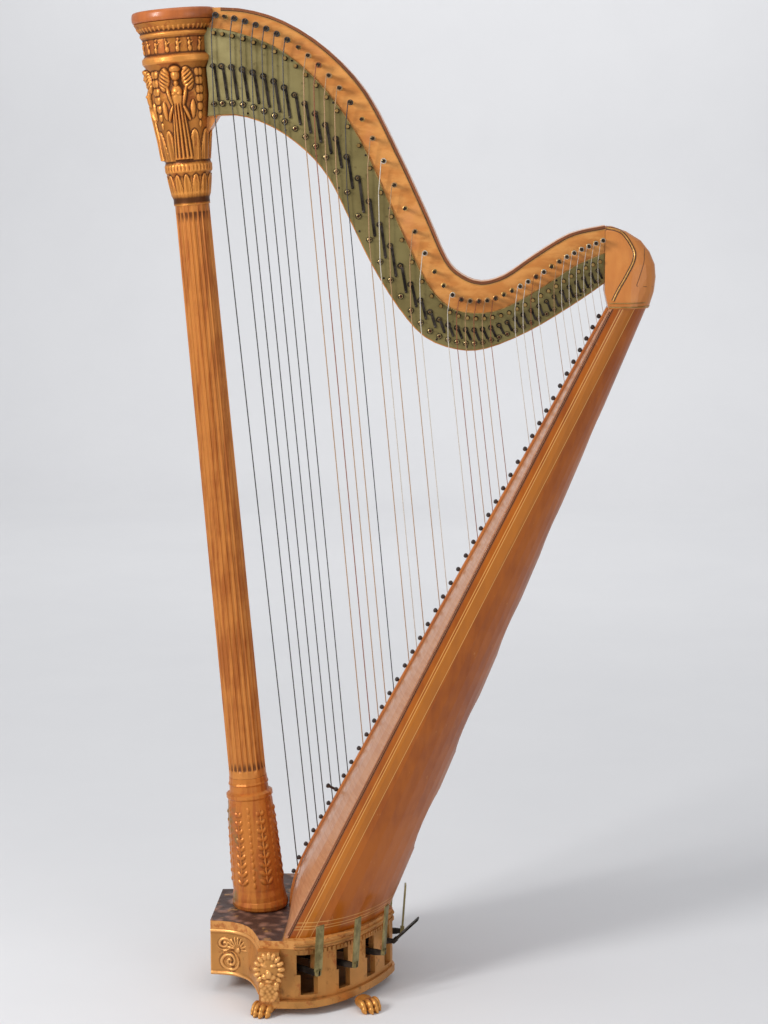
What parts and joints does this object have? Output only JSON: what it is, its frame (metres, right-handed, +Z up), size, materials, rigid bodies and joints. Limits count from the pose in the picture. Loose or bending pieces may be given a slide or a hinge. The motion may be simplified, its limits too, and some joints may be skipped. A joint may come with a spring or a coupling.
{
  "type": "concert harp",
  "caption": "Double-action pedal harp with a fluted gilt column, curved neck, tapering soundbox and hinged pedals that turn its fork discs.",
  "frame": {"origin": "centre of the footprint on the floor plane, below the middle of the bounding box", "axes": "+X from the column to the soundbox and the player, +Z up, -Y the side of the strings, the fork discs and the left pedals"},
  "size_m": [0.8962, 0.4338, 1.7191],
  "materials": {
    "worn_gilding": "worn gilding over red clay, with dark patina",
    "gilt_column": "worn gilding on carved reeds",
    "polished_cornice": "polished reddish wood",
    "varnished_wood": "glossy orange-brown varnish",
    "neck_veneer": "varnished veneer",
    "soundboard_spruce": "pale varnished spruce",
    "worn_carving": "worn brown carving",
    "olive_brass": "aged, olive tarnish",
    "dark_steel": "blued and worn",
    "rod_steel": "plain steel",
    "copper_spring": "copper-washed spring steel",
    "gut_string": "tan gut strings on a varnished strip"
  },
  "bodies": {
    "frame": {"action_plate_left": "olive_brass", "action_plate_right": "olive_brass", "base_block": "worn_gilding", "base_bow": "worn_gilding", "base_floor": "worn_gilding", "base_top": "worn_carving", "body_shell": "varnished_wood", "capital_cornice": "polished_cornice", "column_capital": "worn_gilding", "column_pedestal": "gilt_column", "column_shaft": "gilt_column", "neck": "neck_veneer", "paw_foot_back_left": "worn_gilding", "paw_foot_back_right": "worn_gilding", "paw_foot_front_left": "worn_gilding", "paw_foot_front_right": "worn_gilding", "pedal_rack": "rod_steel", "shoulder": "varnished_wood", "soundboard": "soundboard_spruce", "spring_hanger": "copper_spring", "strung_rib": "gut_string"},
    "pedal_d": {"pedal_d": "dark_steel"},
    "footplate_d": {"footplate_d": "olive_brass"},
    "rod_d": {"pedal_rod_d": "rod_steel"},
    "fork_disc_upper_d": {"fork_disc_upper_d": "dark_steel"},
    "fork_disc_lower_d": {"fork_disc_lower_d": "dark_steel"},
    "pedal_c": {"pedal_c": "dark_steel"},
    "footplate_c": {"footplate_c": "olive_brass"},
    "rod_c": {"pedal_rod_c": "rod_steel"},
    "fork_disc_upper_c": {"fork_disc_upper_c": "dark_steel"},
    "fork_disc_lower_c": {"fork_disc_lower_c": "dark_steel"},
    "pedal_b": {"pedal_b": "dark_steel"},
    "footplate_b": {"footplate_b": "olive_brass"},
    "rod_b": {"pedal_rod_b": "rod_steel"},
    "fork_disc_upper_b": {"fork_disc_upper_b": "dark_steel"},
    "fork_disc_lower_b": {"fork_disc_lower_b": "dark_steel"},
    "pedal_swell": {"pedal_swell": "dark_steel"},
    "footplate_swell": {"footplate_swell": "dark_steel"},
    "pedal_e": {"pedal_e": "dark_steel"},
    "footplate_e": {"footplate_e": "olive_brass"},
    "rod_e": {"pedal_rod_e": "rod_steel"},
    "fork_disc_upper_e": {"fork_disc_upper_e": "dark_steel"},
    "fork_disc_lower_e": {"fork_disc_lower_e": "dark_steel"},
    "pedal_f": {"pedal_f": "dark_steel"},
    "footplate_f": {"footplate_f": "olive_brass"},
    "rod_f": {"pedal_rod_f": "rod_steel"},
    "fork_disc_upper_f": {"fork_disc_upper_f": "dark_steel"},
    "fork_disc_lower_f": {"fork_disc_lower_f": "dark_steel"},
    "pedal_g": {"pedal_g": "dark_steel"},
    "footplate_g": {"footplate_g": "olive_brass"},
    "rod_g": {"pedal_rod_g": "rod_steel"},
    "fork_disc_upper_g": {"fork_disc_upper_g": "dark_steel"},
    "fork_disc_lower_g": {"fork_disc_lower_g": "dark_steel"},
    "pedal_a": {"pedal_a": "dark_steel"},
    "footplate_a": {"footplate_a": "olive_brass"},
    "rod_a": {"pedal_rod_a": "rod_steel"},
    "fork_disc_upper_a": {"fork_disc_upper_a": "dark_steel"},
    "fork_disc_lower_a": {"fork_disc_lower_a": "dark_steel"}
  },
  "joints": [
    {"name": "pedal_d_pivot", "type": "hinge", "parent": "frame", "child": "pedal_d", "pos_m": [-0.29332, -0.04912, 0.08], "axis": [0.6549, 0.7557, 0], "range_deg": [0, 9.87], "stiffness_Nm_per_rad": 2, "springref_deg": -20.05},
    {"name": "footplate_d_hinge", "type": "hinge", "parent": "pedal_d", "child": "footplate_d", "pos_m": [-0.11886, -0.20033, 0.08], "axis": [0.6549, 0.7557, 0], "range_deg": [0, 84]},
    {"name": "rod_d_slide", "type": "slide", "parent": "frame", "child": "rod_d", "axis": [-0.0854, 0, 0.9963], "range_m": [-0.00781, 0]},
    {"name": "fork_disc_upper_d_turn", "type": "hinge", "parent": "frame", "child": "fork_disc_upper_d", "pos_m": [-0.29152, -0.0259, 1.61865], "axis": [0, -1, 0], "range_deg": [0, 45.5]},
    {"name": "fork_disc_lower_d_turn", "type": "hinge", "parent": "frame", "child": "fork_disc_lower_d", "pos_m": [-0.29022, -0.0259, 1.55667], "axis": [0, -1, 0], "range_deg": [0, 45.5]},
    {"name": "pedal_c_pivot", "type": "hinge", "parent": "frame", "child": "pedal_c", "pos_m": [-0.28388, -0.0354, 0.08], "axis": [0.472, 0.8816, 0], "range_deg": [0, 8.81], "stiffness_Nm_per_rad": 2, "springref_deg": -20.05},
    {"name": "footplate_c_hinge", "type": "hinge", "parent": "pedal_c", "child": "footplate_c", "pos_m": [-0.05784, -0.1564, 0.08], "axis": [0.472, 0.8816, 0], "range_deg": [0, 84]},
    {"name": "rod_c_slide", "type": "slide", "parent": "frame", "child": "rod_c", "axis": [-0.0854, 0, 0.9963], "range_m": [-0.00698, 0]},
    {"name": "fork_disc_upper_c_turn", "type": "hinge", "parent": "frame", "child": "fork_disc_upper_c", "pos_m": [-0.18529, -0.0259, 1.58293], "axis": [0, -1, 0], "range_deg": [0, 45.5]},
    {"name": "fork_disc_lower_c_turn", "type": "hinge", "parent": "frame", "child": "fork_disc_lower_c", "pos_m": [-0.18411, -0.0259, 1.52623], "axis": [0, -1, 0], "range_deg": [0, 45.5]},
    {"name": "pedal_b_pivot", "type": "hinge", "parent": "frame", "child": "pedal_b", "pos_m": [-0.27751, -0.01924, 0.08], "axis": [0.2566, 0.9665, 0], "range_deg": [0, 8.2], "stiffness_Nm_per_rad": 2, "springref_deg": -20.05},
    {"name": "footplate_b_hinge", "type": "hinge", "parent": "pedal_b", "child": "footplate_b", "pos_m": [-0.0128, -0.08951, 0.08], "axis": [0.2566, 0.9665, 0], "range_deg": [0, 84]},
    {"name": "rod_b_slide", "type": "slide", "parent": "frame", "child": "rod_b", "axis": [-0.0854, 0, 0.9963], "range_m": [-0.0065, 0]},
    {"name": "fork_disc_upper_b_turn", "type": "hinge", "parent": "frame", "child": "fork_disc_upper_b", "pos_m": [-0.20288, -0.0259, 1.59344], "axis": [0, -1, 0], "range_deg": [0, 45.5]},
    {"name": "fork_disc_lower_b_turn", "type": "hinge", "parent": "frame", "child": "fork_disc_lower_b", "pos_m": [-0.20168, -0.0259, 1.53603], "axis": [0, -1, 0], "range_deg": [0, 45.5]},
    {"name": "pedal_swell_pivot", "type": "hinge", "parent": "frame", "child": "pedal_swell", "pos_m": [-0.27522, -0.00578, 0.08], "axis": [0.077, 0.997, 0], "range_deg": [0, 7.71], "stiffness_Nm_per_rad": 2, "springref_deg": -20.05},
    {"name": "footplate_swell_hinge", "type": "hinge", "parent": "pedal_swell", "child": "footplate_swell", "pos_m": [0.00196, -0.02719, 0.08], "axis": [0.077, 0.997, 0], "range_deg": [-40, 45]},
    {"name": "pedal_e_pivot", "type": "hinge", "parent": "frame", "child": "pedal_e", "pos_m": [-0.27522, 0.00578, 0.08], "axis": [-0.077, 0.997, 0], "range_deg": [0, 7.71], "stiffness_Nm_per_rad": 2, "springref_deg": -20.05},
    {"name": "footplate_e_hinge", "type": "hinge", "parent": "pedal_e", "child": "footplate_e", "pos_m": [0.01393, 0.02811, 0.08], "axis": [-0.077, 0.997, 0], "range_deg": [0, 84]},
    {"name": "rod_e_slide", "type": "slide", "parent": "frame", "child": "rod_e", "axis": [-0.0854, 0, 0.9963], "range_m": [-0.00705, 0]},
    {"name": "fork_disc_upper_e_turn", "type": "hinge", "parent": "frame", "child": "fork_disc_upper_e", "pos_m": [-0.27443, -0.0259, 1.61712], "axis": [0, -1, 0], "range_deg": [0, 45.5]},
    {"name": "fork_disc_lower_e_turn", "type": "hinge", "parent": "frame", "child": "fork_disc_lower_e", "pos_m": [-0.27318, -0.0259, 1.55705], "axis": [0, -1, 0], "range_deg": [0, 45.5]},
    {"name": "pedal_f_pivot", "type": "hinge", "parent": "frame", "child": "pedal_f", "pos_m": [-0.27751, 0.01924, 0.08], "axis": [-0.2566, 0.9665, 0], "range_deg": [0, 8.2], "stiffness_Nm_per_rad": 2, "springref_deg": -20.05},
    {"name": "footplate_f_hinge", "type": "hinge", "parent": "pedal_f", "child": "footplate_f", "pos_m": [-0.0128, 0.08951, 0.08], "axis": [-0.2566, 0.9665, 0], "range_deg": [0, 84]},
    {"name": "rod_f_slide", "type": "slide", "parent": "frame", "child": "rod_f", "axis": [-0.0854, 0, 0.9963], "range_m": [-0.0065, 0]},
    {"name": "fork_disc_upper_f_turn", "type": "hinge", "parent": "frame", "child": "fork_disc_upper_f", "pos_m": [-0.25633, -0.0259, 1.61331], "axis": [0, -1, 0], "range_deg": [0, 45.5]},
    {"name": "fork_disc_lower_f_turn", "type": "hinge", "parent": "frame", "child": "fork_disc_lower_f", "pos_m": [-0.25509, -0.0259, 1.55445], "axis": [0, -1, 0], "range_deg": [0, 45.5]},
    {"name": "pedal_g_pivot", "type": "hinge", "parent": "frame", "child": "pedal_g", "pos_m": [-0.28388, 0.0354, 0.08], "axis": [-0.472, 0.8816, 0], "range_deg": [0, 8.81], "stiffness_Nm_per_rad": 2, "springref_deg": -20.05},
    {"name": "footplate_g_hinge", "type": "hinge", "parent": "pedal_g", "child": "footplate_g", "pos_m": [-0.05784, 0.1564, 0.08], "axis": [-0.472, 0.8816, 0], "range_deg": [0, 84]},
    {"name": "rod_g_slide", "type": "slide", "parent": "frame", "child": "rod_g", "axis": [-0.0854, 0, 0.9963], "range_m": [-0.00698, 0]},
    {"name": "fork_disc_upper_g_turn", "type": "hinge", "parent": "frame", "child": "fork_disc_upper_g", "pos_m": [-0.23838, -0.0259, 1.60818], "axis": [0, -1, 0], "range_deg": [0, 45.5]},
    {"name": "fork_disc_lower_g_turn", "type": "hinge", "parent": "frame", "child": "fork_disc_lower_g", "pos_m": [-0.23716, -0.0259, 1.55016], "axis": [0, -1, 0], "range_deg": [0, 45.5]},
    {"name": "pedal_a_pivot", "type": "hinge", "parent": "frame", "child": "pedal_a", "pos_m": [-0.29332, 0.04912, 0.08], "axis": [-0.6549, 0.7557, 0], "range_deg": [0, 9.87], "stiffness_Nm_per_rad": 2, "springref_deg": -20.05},
    {"name": "footplate_a_hinge", "type": "hinge", "parent": "pedal_a", "child": "footplate_a", "pos_m": [-0.11886, 0.20033, 0.08], "axis": [-0.6549, 0.7557, 0], "range_deg": [0, 84]},
    {"name": "rod_a_slide", "type": "slide", "parent": "frame", "child": "rod_a", "axis": [-0.0854, 0, 0.9963], "range_m": [-0.00781, 0]},
    {"name": "fork_disc_upper_a_turn", "type": "hinge", "parent": "frame", "child": "fork_disc_upper_a", "pos_m": [-0.22058, -0.0259, 1.60177], "axis": [0, -1, 0], "range_deg": [0, 45.5]},
    {"name": "fork_disc_lower_a_turn", "type": "hinge", "parent": "frame", "child": "fork_disc_lower_a", "pos_m": [-0.21937, -0.0259, 1.54408], "axis": [0, -1, 0], "range_deg": [0, 45.5]}
  ],
  "couplings": [
    {"joint": "rod_d_slide", "follows": "pedal_d_pivot", "m_per_rad": -0.045},
    {"joint": "fork_disc_upper_d_turn", "follows": "pedal_d_pivot", "ratio": 4.5593},
    {"joint": "fork_disc_lower_d_turn", "follows": "pedal_d_pivot", "ratio": 4.5593},
    {"joint": "rod_c_slide", "follows": "pedal_c_pivot", "m_per_rad": -0.045},
    {"joint": "fork_disc_upper_c_turn", "follows": "pedal_c_pivot", "ratio": 5.1078},
    {"joint": "fork_disc_lower_c_turn", "follows": "pedal_c_pivot", "ratio": 5.1078},
    {"joint": "rod_b_slide", "follows": "pedal_b_pivot", "m_per_rad": -0.045},
    {"joint": "fork_disc_upper_b_turn", "follows": "pedal_b_pivot", "ratio": 5.4878},
    {"joint": "fork_disc_lower_b_turn", "follows": "pedal_b_pivot", "ratio": 5.4878},
    {"joint": "rod_e_slide", "follows": "pedal_e_pivot", "m_per_rad": -0.052},
    {"joint": "fork_disc_upper_e_turn", "follows": "pedal_e_pivot", "ratio": 5.8366},
    {"joint": "fork_disc_lower_e_turn", "follows": "pedal_e_pivot", "ratio": 5.8366},
    {"joint": "rod_f_slide", "follows": "pedal_f_pivot", "m_per_rad": -0.045},
    {"joint": "fork_disc_upper_f_turn", "follows": "pedal_f_pivot", "ratio": 5.4878},
    {"joint": "fork_disc_lower_f_turn", "follows": "pedal_f_pivot", "ratio": 5.4878},
    {"joint": "rod_g_slide", "follows": "pedal_g_pivot", "m_per_rad": -0.045},
    {"joint": "fork_disc_upper_g_turn", "follows": "pedal_g_pivot", "ratio": 5.1078},
    {"joint": "fork_disc_lower_g_turn", "follows": "pedal_g_pivot", "ratio": 5.1078},
    {"joint": "rod_a_slide", "follows": "pedal_a_pivot", "m_per_rad": -0.045},
    {"joint": "fork_disc_upper_a_turn", "follows": "pedal_a_pivot", "ratio": 4.5593},
    {"joint": "fork_disc_lower_a_turn", "follows": "pedal_a_pivot", "ratio": 4.5593}
  ]
}
